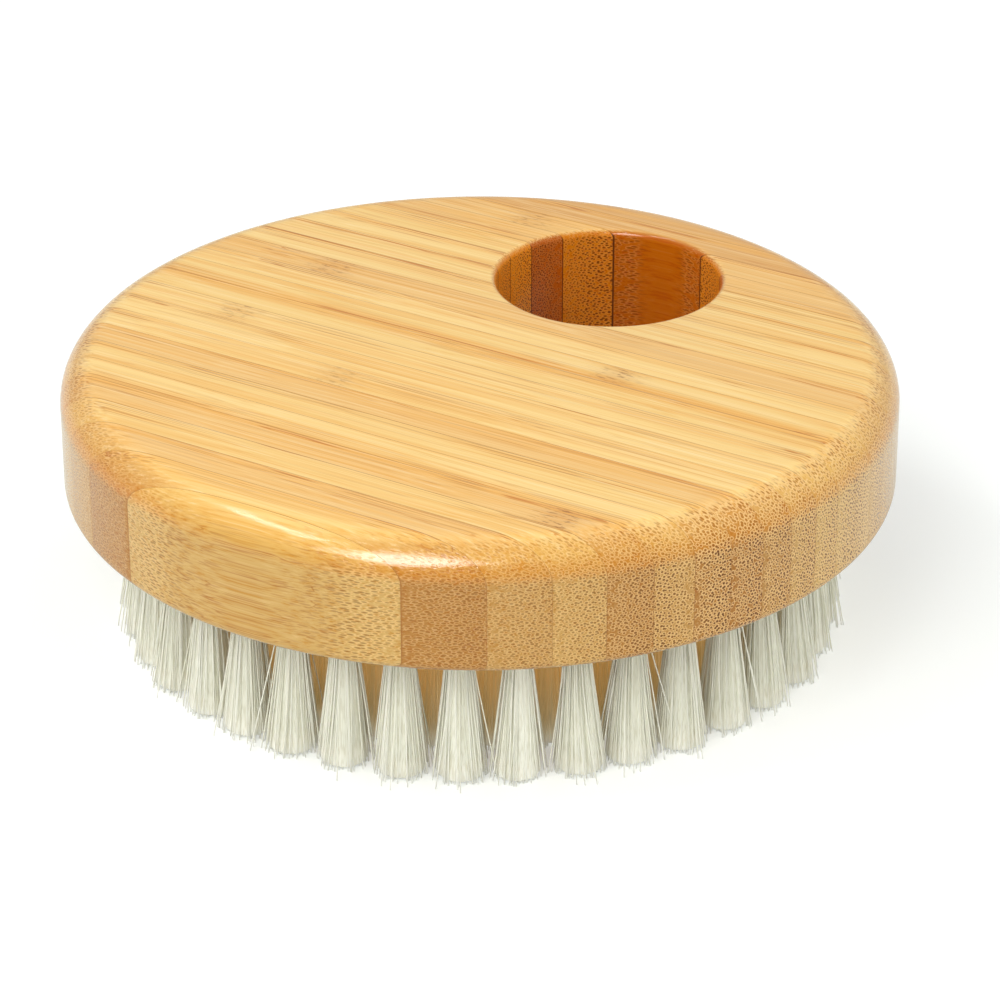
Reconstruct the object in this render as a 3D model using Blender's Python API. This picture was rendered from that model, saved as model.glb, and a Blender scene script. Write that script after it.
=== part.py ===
"""Round body brush: a laminated bamboo block with a finger hole, set with rings of bristle tufts.

The origin lies on the block's axis, in the plane of the bristle tips. +Z runs up through the block to
the palm face, and +Y points to the finger hole. The strips that the block is glued from are modelled
with their grain along X, and the whole brush is then turned so that its finger hole comes to +Y.
"""

import math

import bmesh
import bpy
from mathutils import Vector

# The block
BLOCK_DIAMETER = 0.130
BLOCK_THICKNESS = 0.020
PALM_ROUND = 0.006
LOWER_ROUND = 0.0014
RIM_SEGMENTS = 96
PALM_ROUND_STEPS = 5
SMALL_ROUND_STEPS = 2

# The finger hole, which goes right through the block
FINGER_HOLE_DIAMETER = 0.036
FINGER_HOLE_RIM_SHARE = 0.1908
FINGER_HOLE_ROUND = 0.0012
FINGER_HOLE_SEGMENTS = 48

# The bamboo strips, which lie side by side across the grain. The finger hole cuts some of them in two,
# and those reach from its centre to these shares of its radius.
STRIPS_BEFORE_FINGER_HOLE = 15
STRIPS_CUT_IN_TWO = 6
STRIPS_PAST_FINGER_HOLE = 3
CUT_STRIPS_NEAR_SHARE = 0.959
CUT_STRIPS_FAR_SHARE = 0.891
FIRST_STRIP_SHARE = 0.811
LAST_STRIP_SHARE = 0.613
GLUE_LINE = 0.0001
GRAIN_TURN = math.radians(5.2)

# The tufts, in rings about the block's axis
BRISTLE_LENGTH = 0.024
OUTER_RING_SHARE = 0.8046
RING_PITCH = 0.0093
TUFT_PITCH = 0.0087
FINGER_HOLE_LAND = 0.0023
TUFT_HOLE_DIAMETER = 0.004
TUFT_HOLE_DEPTH = 0.010
TUFT_HOLE_SIDES = 6
TUFT_TIP_DIAMETER = 0.0068
OUTER_STRANDS = 4
INNER_STRANDS = 3

# A strand is a wedge of its tuft: where its inner edge lies, and how much of its sector it fills
STRAND_INNER_SHARE = 0.16
STRAND_ROOT_SECTOR_SHARE = 0.75
STRAND_TIP_SECTOR_SHARE = 0.66
STRAND_EMBED = 0.0004

# The slice of backing that a row of tufts is fused to, let into the lower face of its strips
STRIPS_PER_ROW = 2
SLICE_THICKNESS = 0.0015
SLICE_END_LAND = 0.001

# The gap between pieces that touch, and how far a cutter runs past what it cuts
CLEARANCE = 0.0003
OVERRUN = 0.002

BLOCK_RADIUS = BLOCK_DIAMETER / 2
LOWER_FACE = BRISTLE_LENGTH
PALM_FACE = LOWER_FACE + BLOCK_THICKNESS
FINGER_HOLE_RADIUS = FINGER_HOLE_DIAMETER / 2
FINGER_HOLE_OFFSET = (1 - FINGER_HOLE_RIM_SHARE) * BLOCK_RADIUS - FINGER_HOLE_RADIUS
FINGER_HOLE_ANGLE = math.pi / 2 - GRAIN_TURN
TO_FINGER_HOLE = Vector((math.cos(FINGER_HOLE_ANGLE), math.sin(FINGER_HOLE_ANGLE)))
FINGER_HOLE_PLACE = FINGER_HOLE_OFFSET * TO_FINGER_HOLE
CUT_STRIPS_NEAR = FINGER_HOLE_PLACE.y - CUT_STRIPS_NEAR_SHARE * FINGER_HOLE_RADIUS
CUT_STRIPS_FAR = FINGER_HOLE_PLACE.y + CUT_STRIPS_FAR_SHARE * FINGER_HOLE_RADIUS
TUFT_HOLE_RADIUS = TUFT_HOLE_DIAMETER / 2
TUFT_ROOT_RADIUS = TUFT_HOLE_RADIUS - CLEARANCE
TUFT_ROOT_HALF_WIDTH = TUFT_ROOT_RADIUS / math.sqrt(2)

BAMBOO_TONES = {
    "bamboo_honey": (0.72, 0.46, 0.18),
    "bamboo_tan": (0.62, 0.39, 0.17),
    "bamboo_rose": (0.60, 0.34, 0.16),
}
BRISTLE_CREAM = (0.80, 0.76, 0.62)


def clear_scene():
    for obj in list(bpy.data.objects):
        bpy.data.objects.remove(obj)


def material(name, colour, roughness):
    made = bpy.data.materials.new(name)
    made.use_nodes = True
    shader = made.node_tree.nodes["Principled BSDF"]
    shader.inputs["Base Color"].default_value = (*colour, 1)
    shader.inputs["Roughness"].default_value = roughness
    shader.inputs["Metallic"].default_value = 0
    return made


def circle(radius, sides):
    turns = [math.tau * side / sides for side in range(sides)]
    return [Vector((radius * math.cos(turn), radius * math.sin(turn))) for turn in turns]


def arc(centre, radius, start, end, steps):
    """Points of an arc in the plane of (radius, height), given in degrees."""
    turns = [math.radians(start + (end - start) * step / steps) for step in range(steps + 1)]
    return [(centre[0] + radius * math.cos(turn), centre[1] + radius * math.sin(turn)) for turn in turns]


def section(outline, height, place=(0, 0)):
    """An outline moved to its place and height."""
    return [(place[0] + x, place[1] + y, height) for x, y in outline]


def lofts(name, solids):
    """An object of closed lofts. Each is a list of sections from low to high, anticlockwise from above."""
    shape = bmesh.new()
    for sections in solids:
        levels = [[shape.verts.new(point) for point in points] for points in sections]
        shape.faces.new(levels[0][::-1])
        shape.faces.new(levels[-1])
        for low, high in zip(levels, levels[1:]):
            for i in range(len(low)):
                shape.faces.new((low[i - 1], low[i], high[i], high[i - 1]))
    mesh = bpy.data.meshes.new(name)
    shape.to_mesh(mesh)
    shape.free()
    made = bpy.data.objects.new(name, mesh)
    bpy.context.scene.collection.objects.link(made)
    return made


def cutter(name, solids):
    """A helper for Booleans, which stays out of renders."""
    made = lofts(name, solids)
    made.hide_render = True
    made.display_type = "WIRE"
    return made


def carve(obj, operation, other):
    boolean = obj.modifiers.new(other.name, "BOOLEAN")
    boolean.operation = operation
    boolean.object = other
    boolean.solver = "EXACT"


def settle(obj, finish, parent, sharp_over=math.radians(30)):
    """Applies a piece's Booleans, removes the cutters, shades its round faces smooth and finishes it."""
    bpy.context.view_layer.update()
    graph = bpy.context.evaluated_depsgraph_get()
    mesh = bpy.data.meshes.new_from_object(obj.evaluated_get(graph), depsgraph=graph)
    obj.modifiers.clear()
    obj.data = mesh
    for helper in [other for other in bpy.data.objects if other.hide_render]:
        bpy.data.objects.remove(helper)
    mesh.materials.clear()
    mesh.materials.append(finish)
    mesh.shade_smooth()
    mesh.set_sharp_from_angle(angle=sharp_over)
    obj.parent = parent


def turned_block():
    """The outside of the whole block, with its palm edge well rounded and its lower edge eased."""
    lower = (BLOCK_RADIUS - LOWER_ROUND, LOWER_FACE + LOWER_ROUND)
    palm = (BLOCK_RADIUS - PALM_ROUND, PALM_FACE - PALM_ROUND)
    profile = arc(lower, LOWER_ROUND, -90, 0, SMALL_ROUND_STEPS)
    profile += arc(palm, PALM_ROUND, 0, 90, PALM_ROUND_STEPS)
    return cutter("turned_block", [[section(circle(r, RIM_SEGMENTS), z) for r, z in profile]])


def finger_hole():
    """The finger hole, flared at both faces so that it leaves rounded rims."""
    flare = FINGER_HOLE_RADIUS + FINGER_HOLE_ROUND
    lower = arc((flare, LOWER_FACE + FINGER_HOLE_ROUND), FINGER_HOLE_ROUND, -90, -180, SMALL_ROUND_STEPS)
    upper = arc((flare, PALM_FACE - FINGER_HOLE_ROUND), FINGER_HOLE_ROUND, 180, 90, SMALL_ROUND_STEPS)
    profile = [(flare, LOWER_FACE - OVERRUN), *lower, *upper, (flare, PALM_FACE + OVERRUN)]
    levels = [section(circle(r, FINGER_HOLE_SEGMENTS), z, FINGER_HOLE_PLACE) for r, z in profile]
    return cutter("finger_hole", [levels])


def finger_hole_land(margin=0):
    """The wood round the finger hole that no slice is let into."""
    outline = circle(FINGER_HOLE_RADIUS + FINGER_HOLE_LAND - margin, FINGER_HOLE_SEGMENTS)
    heights = (LOWER_FACE - 2 * OVERRUN, PALM_FACE)
    return cutter("finger_hole_land", [[section(outline, z, FINGER_HOLE_PLACE) for z in heights]])


def bar(make, name, along, across, low, high):
    """A straight bar between two limits along the grain and two across it."""
    outline = [(along[0], across[0]), (along[1], across[0]), (along[1], across[1]), (along[0], across[1])]
    return make(name, [[section(outline, z) for z in (low, high)]])


def tuft_layout():
    """Each tuft's place, its angle about the axis and its strands, in rings that the finger hole breaks.

    None stands in the strips past the finger hole.
    """
    keep_out = FINGER_HOLE_RADIUS + FINGER_HOLE_LAND + TUFT_HOLE_RADIUS
    outer_ring = OUTER_RING_SHARE * BLOCK_RADIUS
    tufts = []
    for ring in range(math.ceil(outer_ring / RING_PITCH)):
        radius = outer_ring - ring * RING_PITCH
        count = 2 * max(1, round(math.pi * radius / TUFT_PITCH))
        for step in range(count):
            angle = FINGER_HOLE_ANGLE + math.tau * (step + 1 / 2) / count
            place = radius * Vector((math.cos(angle), math.sin(angle)))
            if (place - FINGER_HOLE_PLACE).length > keep_out and place.y < CUT_STRIPS_FAR:
                tufts.append((place, angle, INNER_STRANDS if ring else OUTER_STRANDS))
    return tufts


def tuft_drills(tufts):
    """Blind holes drilled up from the lower face."""
    outline = circle(TUFT_HOLE_RADIUS, TUFT_HOLE_SIDES)
    heights = (LOWER_FACE - OVERRUN, LOWER_FACE + TUFT_HOLE_DEPTH)
    return cutter("tuft_drills", [[section(outline, z, place) for z in heights] for place, _, _ in tufts])


def tuft_roots(tufts):
    """The folded ends of the tufts, each round its anchor at the bottom of its hole."""
    half = TUFT_ROOT_HALF_WIDTH
    outline = [(-half, -half), (half, -half), (half, half), (-half, half)]
    heights = (LOWER_FACE, LOWER_FACE + TUFT_HOLE_DEPTH - CLEARANCE)
    return cutter("tuft_roots", [[section(outline, z, place) for z in heights] for place, _, _ in tufts])


def wedge(middle, half_angle, reach):
    """A strand's three-sided outline: its inner corner, then its two outer ones."""
    corners = [(STRAND_INNER_SHARE * reach, 0), (reach, -half_angle), (reach, half_angle)]
    return [(r * math.cos(middle + turn), r * math.sin(middle + turn)) for r, turn in corners]


def tuft_strands(tufts):
    """The free bristles. Each tuft divides into strands, which spread to tips cut flat in one plane."""
    strands = []
    for place, angle, count in tufts:
        half_sector = math.pi / count
        for strand in range(count):
            middle = angle + 2 * half_sector * strand
            tip = wedge(middle, STRAND_TIP_SECTOR_SHARE * half_sector, TUFT_TIP_DIAMETER / 2)
            root = wedge(middle, STRAND_ROOT_SECTOR_SHARE * half_sector, TUFT_ROOT_HALF_WIDTH)
            strands.append([section(tip, 0, place), section(root, LOWER_FACE + STRAND_EMBED, place)])
    return cutter("tuft_strands", strands)


def strip_layout():
    """Each strip's number, its limits across the grain, and whether the finger hole cuts it in two."""
    whole_before = STRIPS_BEFORE_FINGER_HOLE - 1
    whole_past = STRIPS_PAST_FINGER_HOLE - 1
    before = (CUT_STRIPS_NEAR + BLOCK_RADIUS) / (whole_before + FIRST_STRIP_SHARE)
    cut = (CUT_STRIPS_FAR - CUT_STRIPS_NEAR) / STRIPS_CUT_IN_TWO
    past = (BLOCK_RADIUS - CUT_STRIPS_FAR) / (whole_past + LAST_STRIP_SHARE)
    limits = [-BLOCK_RADIUS - OVERRUN]
    limits += [CUT_STRIPS_NEAR - before * step for step in range(whole_before, 0, -1)]
    limits += [CUT_STRIPS_NEAR + cut * step for step in range(STRIPS_CUT_IN_TWO)]
    limits += [CUT_STRIPS_FAR + past * step for step in range(whole_past + 1)]
    limits += [BLOCK_RADIUS + OVERRUN]
    strips = []
    for number, across in enumerate(zip(limits, limits[1:]), 1):
        cut_in_two = 0 < number - STRIPS_BEFORE_FINGER_HOLE <= STRIPS_CUT_IN_TWO
        strips.append((number, across, cut_in_two))
    return strips


def row_layout(strips):
    """Neighbouring strips by twos, each with one row of bristles. Strips cut in two join only their like."""
    rows = []
    for strip in strips:
        if rows and len(rows[-1]) < STRIPS_PER_ROW and rows[-1][0][2] == strip[2]:
            rows[-1].append(strip)
        else:
            rows.append([strip])
    return rows


def sides(cut_in_two):
    """The sides of the finger hole that a row lies on, with its limits along the grain."""
    end = BLOCK_RADIUS + OVERRUN
    if cut_in_two:
        return [("_left", (-end, FINGER_HOLE_PLACE.x)), ("_right", (FINGER_HOLE_PLACE.x, end))]
    return [("", (-end, end))]


def tufts_within(tufts, along, across, margin=0):
    found = []
    for tuft in tufts:
        x, y = tuft[0]
        if along[0] < x < along[1] and across[0] - margin < y <= across[1] + margin:
            found.append(tuft)
    return found


def between_glue_lines(across):
    return (across[0] + GLUE_LINE / 2, across[1] - GLUE_LINE / 2)


def bamboo_strip(name, along, across, slice_along, tufts, finish, parent):
    """One strip of the turned block, with the finger hole, the slice's rebate and the tuft holes."""
    strip = bar(lofts, name, along, between_glue_lines(across), LOWER_FACE - OVERRUN, PALM_FACE + OVERRUN)
    carve(strip, "INTERSECT", turned_block())
    carve(strip, "DIFFERENCE", finger_hole())
    if slice_along:
        ends = (slice_along[0] - CLEARANCE, slice_along[1] + CLEARANCE)
        past = (across[0] - OVERRUN, across[1] + OVERRUN)
        rebate_top = LOWER_FACE + SLICE_THICKNESS + CLEARANCE
        rebate = bar(cutter, "rebate", ends, past, LOWER_FACE - OVERRUN, rebate_top)
        carve(rebate, "DIFFERENCE", finger_hole_land(CLEARANCE))
        carve(strip, "DIFFERENCE", rebate)
    if tufts:
        carve(strip, "DIFFERENCE", tuft_drills(tufts))
    settle(strip, finish, parent)


def bristle_row(name, across, slice_along, tufts, neighbours, finish, parent):
    """A row of tufts, fused to the slice of its strips that it is set in, clear of the tufts beside it."""
    row = bar(lofts, name, slice_along, between_glue_lines(across), LOWER_FACE, LOWER_FACE + SLICE_THICKNESS)
    carve(row, "DIFFERENCE", finger_hole_land())
    if neighbours:
        carve(row, "DIFFERENCE", tuft_drills(neighbours))
    carve(row, "UNION", tuft_roots(tufts))
    carve(row, "UNION", tuft_strands(tufts))
    settle(row, finish, parent)


def build():
    clear_scene()
    tones = [material(name, colour, 0.42) for name, colour in BAMBOO_TONES.items()]
    bristle = material("bristle", BRISTLE_CREAM, 0.5)
    brush = bpy.data.objects.new("brush", None)
    brush.rotation_euler.z = GRAIN_TURN
    bpy.context.scene.collection.objects.link(brush)

    tufts = tuft_layout()
    slice_end = TUFT_HOLE_RADIUS + SLICE_END_LAND
    for row_number, strips in enumerate(row_layout(strip_layout()), 1):
        row_across = (strips[0][1][0], strips[-1][1][1])
        for side, along in sides(strips[0][2]):
            carried = tufts_within(tufts, along, row_across)
            places = [place.x for place, _, _ in carried]
            slice_along = (min(places) - slice_end, max(places) + slice_end) if carried else None
            for number, across, _ in strips:
                reached = tufts_within(tufts, along, across, TUFT_HOLE_RADIUS)
                name = f"bamboo_strip_{number:02}{side}"
                bamboo_strip(name, along, across, slice_along, reached, tones[number % len(tones)], brush)
            if carried:
                reached = tufts_within(tufts, along, row_across, TUFT_HOLE_RADIUS)
                neighbours = [tuft for tuft in reached if tuft not in carried]
                name = f"bristle_row_{row_number:02}{side}"
                bristle_row(name, row_across, slice_along, carried, neighbours, bristle, brush)
    print(len(tufts), "tufts,", sum(count for _, _, count in tufts), "strands")


build()
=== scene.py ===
"""Looks of the round body brush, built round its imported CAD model.

Each bamboo strip and each row of tufts is a detailed piece that stands for its CAD node. The strips are
modelled with their grain along u (and v across it), and turned into the shared frame like the CAD model.
"""

import math
import random

import bmesh
import bpy
from mathutils import Matrix, Quaternion, Vector


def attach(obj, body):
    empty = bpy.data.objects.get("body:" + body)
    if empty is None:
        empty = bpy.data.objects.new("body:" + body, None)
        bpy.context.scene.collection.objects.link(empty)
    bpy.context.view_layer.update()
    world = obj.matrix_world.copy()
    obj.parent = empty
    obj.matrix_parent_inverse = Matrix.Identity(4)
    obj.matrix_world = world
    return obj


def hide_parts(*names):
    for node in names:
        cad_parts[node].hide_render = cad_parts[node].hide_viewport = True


MM = 0.001

# The block, in metres, as in the CAD model
BLOCK_RADIUS = 0.065
LOWER_FACE = 0.024
PALM_FACE = 0.044
PALM_ROUND = 0.006
LOWER_ROUND = 0.0014
GRAIN_TURN = math.radians(5.2)
HOLE_RADIUS = 0.018
HOLE_OFFSET = 0.0346
HOLE_ROUND = 0.0012
STRIPS_BEFORE_HOLE = 15
STRIPS_CUT_IN_TWO = 6
STRIPS_PAST_HOLE = 3
FIRST_STRIP_WIDTH = 0.0045
STRIP_PITCH = 0.00555
# What each side of a strip keeps off its seam, so that neighbours don't share a face
SEAM = 0.00001

# The tufts, as in the CAD model. Each row has its own strips, and the first two strips have none
OUTER_RING = 0.0523
RING_PITCH = 0.0093
TUFT_PITCH = 0.0087
HOLE_LAND = 0.0023
TUFT_HOLE_RADIUS = 0.002
TUFT_HOLE_DEPTH = 0.010
STRIPS_IN_A_ROW = 2
FIRST_ROW = 2

# How finely the wood is modelled
RIM_SEGMENTS = 288
HOLE_SEGMENTS = 144
TUFT_HOLE_SEGMENTS = 20
PALM_ROUND_STEPS = 14
LOWER_ROUND_STEPS = 5
HOLE_ROUND_STEPS = 6
# Edges close to each round, which keep its shading off the flat faces
SUPPORT = 0.0004
# How far cutting shapes reach past what they cut
OVERRUN = 0.002
SHARP_EDGE = math.radians(32)

# The filaments. A tuft is narrow at its hole's mouth and spreads to its trimmed tips
FILAMENTS = 170
FILAMENT_RADIUS = 0.000115
FILAMENT_SIDES = 4
FILAMENT_STEPS = 5
FILAMENT_INSIDE = 0.0090
FILAMENT_TAPER = 0.25
MOUTH_RADIUS = 0.00152
MOUTH_DEPTH = 0.0005
TIP_RADIUS = 0.0043
# The middle of a tuft, as a share of its area, holds no filaments
INNER_SHARE = 0.12
# Half turns from one filament to the next, as in a sunflower's head
SPIRAL = 3 - math.sqrt(5)
# Inside their hole the filaments lie closer than at its mouth
ROOT_SQUEEZE = 0.9
# How much the filaments differ
FIRST_TUFT_SEED = 1000
TUFT_LEAN = 0.25 * MM
OUTWARD_LEAN = 0.0007
TURN_SCATTER = 0.25
REACH_SCATTER = 0.07
MOST_REACH = 1.05
STRAY_SHARE = 0.05
STRAY_REACH = 0.0032
TIP_SCATTER = 0.18 * MM
TRIM_SCATTER = 0.0004
BOW = 0.25 * MM
BEND = 0.12

# The middle of a tuft: the heights of its rings from the hole down, and their shares of its radius
CORE_SIDES = 14
CORE_SHARE = 0.84
CORE_TINT = 0.5
CORE_END = 0.0003
CORE_DOME = 0.0005
CORE_LEVELS = [
    (LOWER_FACE + FILAMENT_INSIDE, 0.6), (LOWER_FACE, 1.0), (CORE_END + CORE_DOME, 1.0),
    (CORE_END + CORE_DOME / 3, 0.94), (CORE_END, 0.84),
]

# How deep among the tufts a ring lies, which sets how much painted golden bounce light and glow its bristles
# take.
# Tufts nearer than the first distance to the finger hole's axis take none, being lit from the hole as if they
# stood outside, and those past the second distance take it in full
DEPTH_PER_RING = 0.7
MOST_DEPTH = 0.85
OPEN_NEAR = 0.024
OPEN_FAR = 0.044

HOLE_ANGLE = math.pi / 2 - GRAIN_TURN
HOLE_PLACE = HOLE_OFFSET * Vector((math.cos(HOLE_ANGLE), math.sin(HOLE_ANGLE)))
TURN = Matrix.Rotation(GRAIN_TURN, 4, "Z")

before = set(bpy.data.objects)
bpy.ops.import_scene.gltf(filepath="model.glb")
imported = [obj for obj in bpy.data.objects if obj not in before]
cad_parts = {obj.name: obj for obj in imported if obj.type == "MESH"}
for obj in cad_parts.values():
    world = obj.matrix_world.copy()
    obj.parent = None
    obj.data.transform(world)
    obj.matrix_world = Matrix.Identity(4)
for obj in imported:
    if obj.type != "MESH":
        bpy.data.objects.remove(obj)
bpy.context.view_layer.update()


# Shapes
def link(name, data):
    """An object of a mesh, lamp or camera, in the scene."""
    made = bpy.data.objects.new(name, data)
    bpy.context.scene.collection.objects.link(made)
    return made


def link_shape(name, shape):
    """An object of a bmesh, which is freed."""
    mesh = bpy.data.meshes.new(name)
    shape.to_mesh(mesh)
    shape.free()
    return link(name, mesh)


def arc(centre, radius, start, end, steps):
    """Points of an arc in the plane of (radius, height), given in degrees."""
    turns = [math.radians(start + (end - start) * step / steps) for step in range(steps + 1)]
    return [(centre[0] + radius * math.cos(turn), centre[1] + radius * math.sin(turn)) for turn in turns]


def turned(name, profiles, segments):
    """An object of closed turned solids, each a profile of (radius, height) from low to high and a place."""
    shape = bmesh.new()
    turns = [math.tau * i / segments for i in range(segments)]
    for profile, (cx, cy) in profiles:
        rings = [
            [shape.verts.new((cx + radius * math.cos(t), cy + radius * math.sin(t), height)) for t in turns]
            for radius, height in profile
        ]
        shape.faces.new(rings[0][::-1])
        shape.faces.new(rings[-1])
        for low, high in zip(rings, rings[1:]):
            for i in range(segments):
                shape.faces.new((low[i - 1], low[i], high[i], high[i - 1]))
    return link_shape(name, shape)


def box(name, low, high):
    """A box between two corners in the grain's frame."""
    shape = bmesh.new()
    bmesh.ops.create_cube(shape, size=1)
    for vertex in shape.verts:
        vertex.co = Vector([a + (b - a) * (c + 0.5) for a, b, c in zip(low, high, vertex.co)])
    return link_shape(name, shape)


def carve(obj, operation, other):
    """Adds a Boolean modifier, which apply_cuts then applies."""
    cut = obj.modifiers.new(other.name, "BOOLEAN")
    cut.operation = operation
    cut.object = other
    cut.solver = "MANIFOLD"


def apply_cuts(obj):
    """Replaces the object's mesh by what its modifiers make of it."""
    bpy.context.view_layer.update()
    graph = bpy.context.evaluated_depsgraph_get()
    mesh = bpy.data.meshes.new_from_object(obj.evaluated_get(graph), depsgraph=graph)
    obj.modifiers.clear()
    obj.data = mesh


def tuft_layout():
    """Each tuft's place in the grain's frame and its ring, counted from the outermost."""
    keep_out = HOLE_RADIUS + HOLE_LAND + TUFT_HOLE_RADIUS
    tufts = []
    for ring in range(math.ceil(OUTER_RING / RING_PITCH)):
        radius = OUTER_RING - ring * RING_PITCH
        count = 2 * max(1, round(math.pi * radius / TUFT_PITCH))
        for step in range(count):
            angle = HOLE_ANGLE + math.tau * (step + 1 / 2) / count
            place = radius * Vector((math.cos(angle), math.sin(angle)))
            if (place - HOLE_PLACE).length > keep_out:
                tufts.append((place, ring))
    return tufts


def strip_limits():
    """The seams across the grain, and the block's two edges."""
    limits = [-BLOCK_RADIUS, FIRST_STRIP_WIDTH - BLOCK_RADIUS]
    count = STRIPS_BEFORE_HOLE + STRIPS_CUT_IN_TWO + STRIPS_PAST_HOLE
    while len(limits) < count:
        limits.append(limits[-1] + STRIP_PITCH)
    return [*limits, BLOCK_RADIUS]


def whole_block(tufts):
    """The whole block, turned, with its finger hole and its tuft holes."""
    lower = (BLOCK_RADIUS - LOWER_ROUND, LOWER_FACE + LOWER_ROUND)
    palm = (BLOCK_RADIUS - PALM_ROUND, PALM_FACE - PALM_ROUND)
    profile = [(lower[0] - SUPPORT, LOWER_FACE)]
    profile += arc(lower, LOWER_ROUND, -90, 0, LOWER_ROUND_STEPS)
    profile += [(BLOCK_RADIUS, lower[1] + SUPPORT), (BLOCK_RADIUS, palm[1] - SUPPORT)]
    profile += arc(palm, PALM_ROUND, 0, 90, PALM_ROUND_STEPS)
    profile += [(palm[0] - SUPPORT, PALM_FACE)]
    block = turned("block", [(profile, (0, 0))], RIM_SEGMENTS)

    flare = HOLE_RADIUS + HOLE_ROUND
    lower = LOWER_FACE + HOLE_ROUND
    upper = PALM_FACE - HOLE_ROUND
    profile = [(flare, LOWER_FACE - OVERRUN)]
    profile += arc((flare, lower), HOLE_ROUND, -90, -180, HOLE_ROUND_STEPS)
    profile += [(HOLE_RADIUS, lower + SUPPORT), (HOLE_RADIUS, upper - SUPPORT)]
    profile += arc((flare, upper), HOLE_ROUND, 180, 90, HOLE_ROUND_STEPS)
    profile += [(flare, PALM_FACE + OVERRUN)]
    hole = turned("hole", [(profile, HOLE_PLACE)], HOLE_SEGMENTS)

    drill = [(TUFT_HOLE_RADIUS, LOWER_FACE - OVERRUN), (TUFT_HOLE_RADIUS, LOWER_FACE + TUFT_HOLE_DEPTH)]
    drills = turned("drills", [(drill, place) for place, _ in tufts], TUFT_HOLE_SEGMENTS)
    for cutter in (hole, drills):
        carve(block, "DIFFERENCE", cutter)
    apply_cuts(block)
    for cutter in (hole, drills):
        bpy.data.objects.remove(cutter)
    return block


def make_strip(name, block, along, across, finish, node):
    """The part of the block between two places along the grain and two across it."""
    low = (along[0], across[0] + SEAM, LOWER_FACE - OVERRUN)
    high = (along[1], across[1] - SEAM, PALM_FACE + OVERRUN)
    strip = box(name, low, high)
    carve(strip, "INTERSECT", block)
    apply_cuts(strip)
    strip.data.transform(TURN)
    strip.data.materials.clear()
    strip.data.materials.append(finish)
    strip.data.shade_smooth()
    strip.data.set_sharp_from_angle(angle=SHARP_EDGE)
    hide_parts(node)
    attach(strip, "root")
    return strip


class Hair:
    """The points of a row's strands with their tints, and the faces between them."""

    def __init__(self):
        self.verts = []
        self.tints = []
        self.faces = []

    def add(self, rings, tint, flipped=False):
        """A tube through rings of points, closed at both ends."""
        base = len(self.verts)
        sides = len(rings[0])
        for ring in rings:
            self.verts += ring
            self.tints += [tint] * sides
        for k in range(len(rings) - 1):
            for s in range(sides):
                a = base + k * sides + s
                b = base + k * sides + (s + 1) % sides
                face = (a, a + sides, b + sides, b) if flipped else (a, b, b + sides, a + sides)
                self.faces.append(face)
        end = base + (len(rings) - 1) * sides
        order = range(sides)[::-1] if flipped else range(sides)
        self.faces.append(tuple(end + s for s in order))
        self.faces.append(tuple(base + s for s in order[::-1]))


def filament_rings(points, radii, spin):
    """Rings round the points of one bristle."""
    turns = [math.tau * s / FILAMENT_SIDES for s in range(FILAMENT_SIDES)]
    rings = []
    for k, (point, radius) in enumerate(zip(points, radii)):
        ahead = points[min(k + 1, len(points) - 1)] - points[max(k - 1, 0)]
        side = ahead.cross(Vector((math.cos(spin), math.sin(spin), 0))).normalized()
        other = ahead.cross(side).normalized()
        rings.append([point + radius * (math.cos(turn) * side + math.sin(turn) * other) for turn in turns])
    return rings


def core_rings(place, lean):
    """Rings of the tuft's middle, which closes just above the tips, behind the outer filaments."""
    rings = []
    for height, share in CORE_LEVELS:
        t = max(0, 1 - height / LOWER_FACE)
        radius = CORE_SHARE * share * (MOUTH_RADIUS + (TIP_RADIUS - MOUTH_RADIUS) * t)
        ring = []
        for s in range(CORE_SIDES):
            turn = math.tau * s / CORE_SIDES
            spot = place + radius * Vector((math.cos(turn), math.sin(turn))) + t * lean
            ring.append(Vector((*spot, height)))
        rings.append(ring)
    return rings


def add_tuft(hair, place, ring, seed):
    """A tuft of filaments, which leave their hole side by side and spread to trimmed tips."""
    rng = random.Random(seed)
    lean = Vector((rng.gauss(0, TUFT_LEAN), rng.gauss(0, TUFT_LEAN)))
    if ring == 0:
        lean += OUTWARD_LEAN * place.normalized()
    hair.add(core_rings(place, lean), CORE_TINT, flipped=True)
    for k in range(FILAMENTS):
        share = math.sqrt(INNER_SHARE + (1 - INNER_SHARE) * (k + 0.5) / FILAMENTS)
        turn = k * math.pi * SPIRAL + rng.gauss(0, TURN_SCATTER)
        out = Vector((math.cos(turn), math.sin(turn)))
        root = MOUTH_RADIUS * share * out
        reach = TIP_RADIUS * min(MOST_REACH, share * rng.gauss(1, REACH_SCATTER))
        if rng.random() < STRAY_SHARE:
            reach += STRAY_REACH * rng.random()
        tip = reach * out + lean + Vector((rng.gauss(0, TIP_SCATTER), rng.gauss(0, TIP_SCATTER)))
        height = TRIM_SCATTER * rng.random() ** 2
        bow = rng.gauss(0, BOW) * Vector((-out.y, out.x))
        power = 1.0 + BEND * rng.random()
        squeezed = (a + ROOT_SQUEEZE * b for a, b in zip(place, root))
        points = [Vector((*squeezed, LOWER_FACE + FILAMENT_INSIDE))]
        radii = [FILAMENT_RADIUS]
        for step in range(FILAMENT_STEPS + 1):
            t = step / FILAMENT_STEPS
            across = root.lerp(tip, t**power) + math.sin(math.pi * t) * bow
            z = LOWER_FACE + MOUTH_DEPTH + (height - LOWER_FACE - MOUTH_DEPTH) * t
            points.append(Vector((*(place + across), z)))
            radii.append(FILAMENT_RADIUS * (1 - FILAMENT_TAPER * t))
        tint = rng.random()
        hair.add(filament_rings(points, radii, rng.random() * math.tau), tint)


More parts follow.
